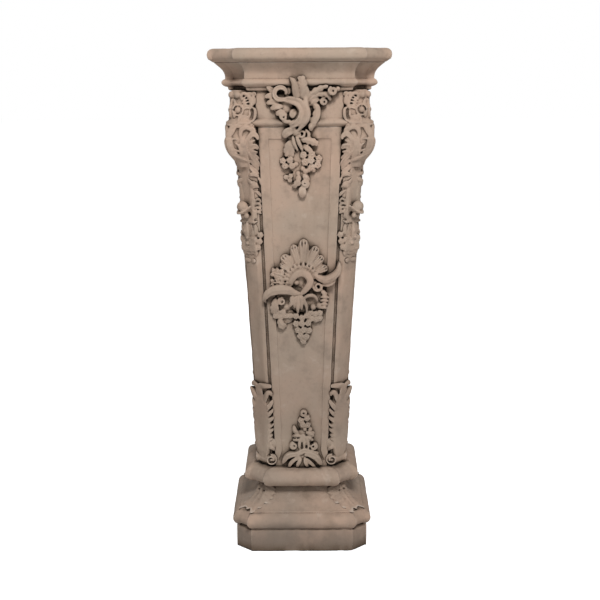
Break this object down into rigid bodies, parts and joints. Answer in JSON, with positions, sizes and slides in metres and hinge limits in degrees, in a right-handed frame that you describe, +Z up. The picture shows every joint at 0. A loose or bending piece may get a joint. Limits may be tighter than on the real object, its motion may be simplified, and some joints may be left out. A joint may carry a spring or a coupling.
{
  "type": "pedestal",
  "caption": "Tapered square pedestal with a moulded cornice, corner consoles, raised front carving and a stepped base, to stand a bust or vase on.",
  "frame": {"origin": "centre of the underside", "axes": "+Z up along the axis, -Y towards the carved front"},
  "size_m": [0.4348, 0.4348, 1.25],
  "materials": {
    "base_clay": "weathered matt, greyer on the sides, dark in the hollows",
    "shaft_clay": "weathered matt, pale on worn edges, dark in the undercuts"
  },
  "bodies": {
    "root": {"base": "base_clay", "shaft": "shaft_clay"}
  },
  "joints": []
}
